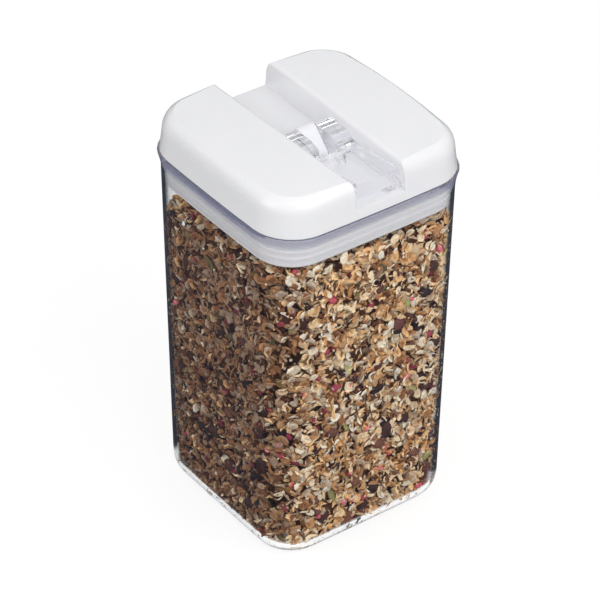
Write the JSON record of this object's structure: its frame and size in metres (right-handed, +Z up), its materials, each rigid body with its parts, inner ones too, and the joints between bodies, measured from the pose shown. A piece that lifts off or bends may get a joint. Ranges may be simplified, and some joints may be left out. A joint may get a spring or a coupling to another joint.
{
  "type": "airtight cereal container with flip lever lid",
  "caption": "Tall square clear canister with a white plug lid; a clear cam lever in the lid's channel flips up to loosen the gasket and release the lid.",
  "frame": {"origin": "middle of the foot, on the surface the canister stands on", "axes": "+Z up; -Y the front, where the lever's finger tab hangs; X along the lever's hinge pin"},
  "size_m": [0.12, 0.12, 0.2198],
  "materials": {
    "canister_plastic": "clear, polished",
    "lever_plastic": "clear, polished",
    "cover_plastic": "smooth satin white",
    "plug_plastic": "smooth white",
    "post_plastic": "smooth white",
    "silicone": "translucent silicone",
    "acetal": "natural white",
    "screw_steel": "stainless, bright",
    "pin_steel": "stainless, ground"
  },
  "bodies": {
    "canister": {"canister": "canister_plastic"},
    "lid": {"lid_cover": "cover_plastic", "lid_base": "plug_plastic", "main_gasket": "silicone", "guide_bush": "acetal", "post_seal": "silicone", "seal_retainer": "plug_plastic", "cover_screws": "screw_steel"},
    "plunger": {"pull_post": "post_plastic", "pressure_plate": "plug_plastic", "post_screw": "screw_steel", "post_washer": "screw_steel", "screw_cap": "plug_plastic"},
    "lever": {"flip_lever": "lever_plastic", "lever_pin": "pin_steel"}
  },
  "joints": [
    {"name": "lid_lift", "type": "slide", "parent": "canister", "child": "lid", "axis": [0, 0, 1], "range_m": [0, 0.06]},
    {"name": "post_slide", "type": "slide", "parent": "lid", "child": "plunger", "axis": [0, 0, -1], "range_m": [0, 0.00205]},
    {"name": "lever_flip", "type": "hinge", "parent": "plunger", "child": "lever", "pos_m": [0, 0, 0.2103], "axis": [-1, 0, 0], "range_deg": [0, 90]}
  ],
  "couplings": [
    {"joint": "post_slide", "follows": "lever_flip", "m_per_rad": 0.0012732}
  ]
}
